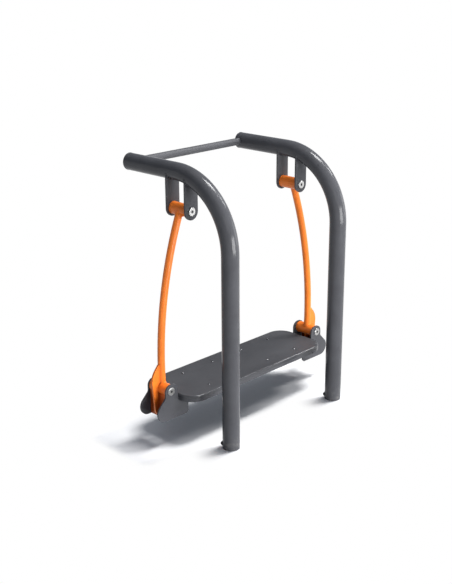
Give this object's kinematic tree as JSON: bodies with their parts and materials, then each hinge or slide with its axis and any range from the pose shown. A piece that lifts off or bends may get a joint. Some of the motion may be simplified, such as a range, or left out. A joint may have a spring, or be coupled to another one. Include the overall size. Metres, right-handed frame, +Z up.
{
  "type": "outdoor surfer exercise machine",
  "caption": "Outdoor fitness surfer: bent tubular posts with a handle bar carry a standing board on bowed swing arms, so that it sways from side to side.",
  "frame": {"origin": "on the ground, midway between the two post feet", "axes": "+Z up, +X along the board from the left post to the right post, +Y from the posts towards the handle"},
  "size_m": [1.322, 0.7773, 1.4145],
  "materials": {
    "dark_coat": "semi-gloss dark grey powder coat",
    "orange_coat": "semi-gloss orange powder coat",
    "deck_panel": "fine-grained dark grey",
    "stainless": "turned stainless steel",
    "dark_screw": "blackened",
    "axle_steel": "ground",
    "bearing_steel": "polished",
    "seal_rubber": "matt black",
    "buffer_rubber": "matt black",
    "zinc_steel": "zinc plated"
  },
  "bodies": {
    "frame": {"left_post": "dark_coat", "right_post": "dark_coat", "left_arm_dome": "dark_coat", "right_arm_dome": "dark_coat", "handle_bar": "dark_coat", "left_front_hanger_lug": "dark_coat", "left_rear_hanger_lug": "dark_coat", "right_front_hanger_lug": "dark_coat", "right_rear_hanger_lug": "dark_coat", "left_upper_axle": "axle_steel", "right_upper_axle": "axle_steel", "upper_bearing_spacers": "axle_steel", "upper_thrust_rings": "axle_steel", "upper_bearing_inner_rings": "bearing_steel", "upper_cap_screws": "stainless", "foot_screws": "dark_screw", "foot_saddle_washers": "dark_screw"},
    "left_arm": {"left_swing_tube": "orange_coat", "left_upper_barrel": "orange_coat", "left_lower_barrel": "orange_coat", "left_stop_fin": "orange_coat", "left_cross_plate": "orange_coat", "left_arm_bearing_rings": "bearing_steel", "left_arm_bearing_balls": "bearing_steel", "left_arm_bearing_seals": "seal_rubber"},
    "right_arm": {"right_swing_tube": "orange_coat", "right_upper_barrel": "orange_coat", "right_lower_barrel": "orange_coat", "right_stop_fin": "orange_coat", "right_cross_plate": "orange_coat", "right_arm_bearing_rings": "bearing_steel", "right_arm_bearing_balls": "bearing_steel", "right_lower_inner_rings": "bearing_steel", "right_arm_bearing_seals": "seal_rubber", "right_lower_bearing_spacer": "axle_steel"},
    "board": {"deck_panel": "deck_panel", "deck_tray": "dark_coat", "front_deck_rail": "dark_coat", "rear_deck_rail": "dark_coat", "left_front_bracket": "dark_coat", "left_rear_bracket": "dark_coat", "right_front_bracket": "dark_coat", "right_rear_bracket": "dark_coat", "left_web": "dark_coat", "right_web": "dark_coat", "stop_buffers": "buffer_rubber", "deck_screws": "stainless", "lower_cap_screws": "stainless", "deck_nuts": "zinc_steel", "buffer_screws": "zinc_steel", "left_lower_axle": "axle_steel", "right_lower_axle": "axle_steel", "left_lower_bearing_spacer": "axle_steel", "lower_thrust_rings": "axle_steel", "left_lower_inner_rings": "bearing_steel"}
  },
  "joints": [
    {"name": "left_arm_swing", "type": "hinge", "parent": "frame", "child": "left_arm", "pos_m": [-0.406, 0.332, 1.184], "axis": [0, 1, 0], "range_deg": [-10, 10]},
    {"name": "right_arm_swing", "type": "hinge", "parent": "frame", "child": "right_arm", "pos_m": [0.406, 0.332, 1.184], "axis": [0, 1, 0], "range_deg": [-10, 10]},
    {"name": "board_hinge", "type": "hinge", "parent": "left_arm", "child": "board", "pos_m": [-0.571, 0.332, 0.282], "axis": [0, 1, 0], "range_deg": [-7.2, 7.2]}
  ],
  "couplings": [
    {"joint": "right_arm_swing", "follows": "left_arm_swing", "ratio": 1},
    {"joint": "board_hinge", "follows": "left_arm_swing", "ratio": -0.71103}
  ]
}
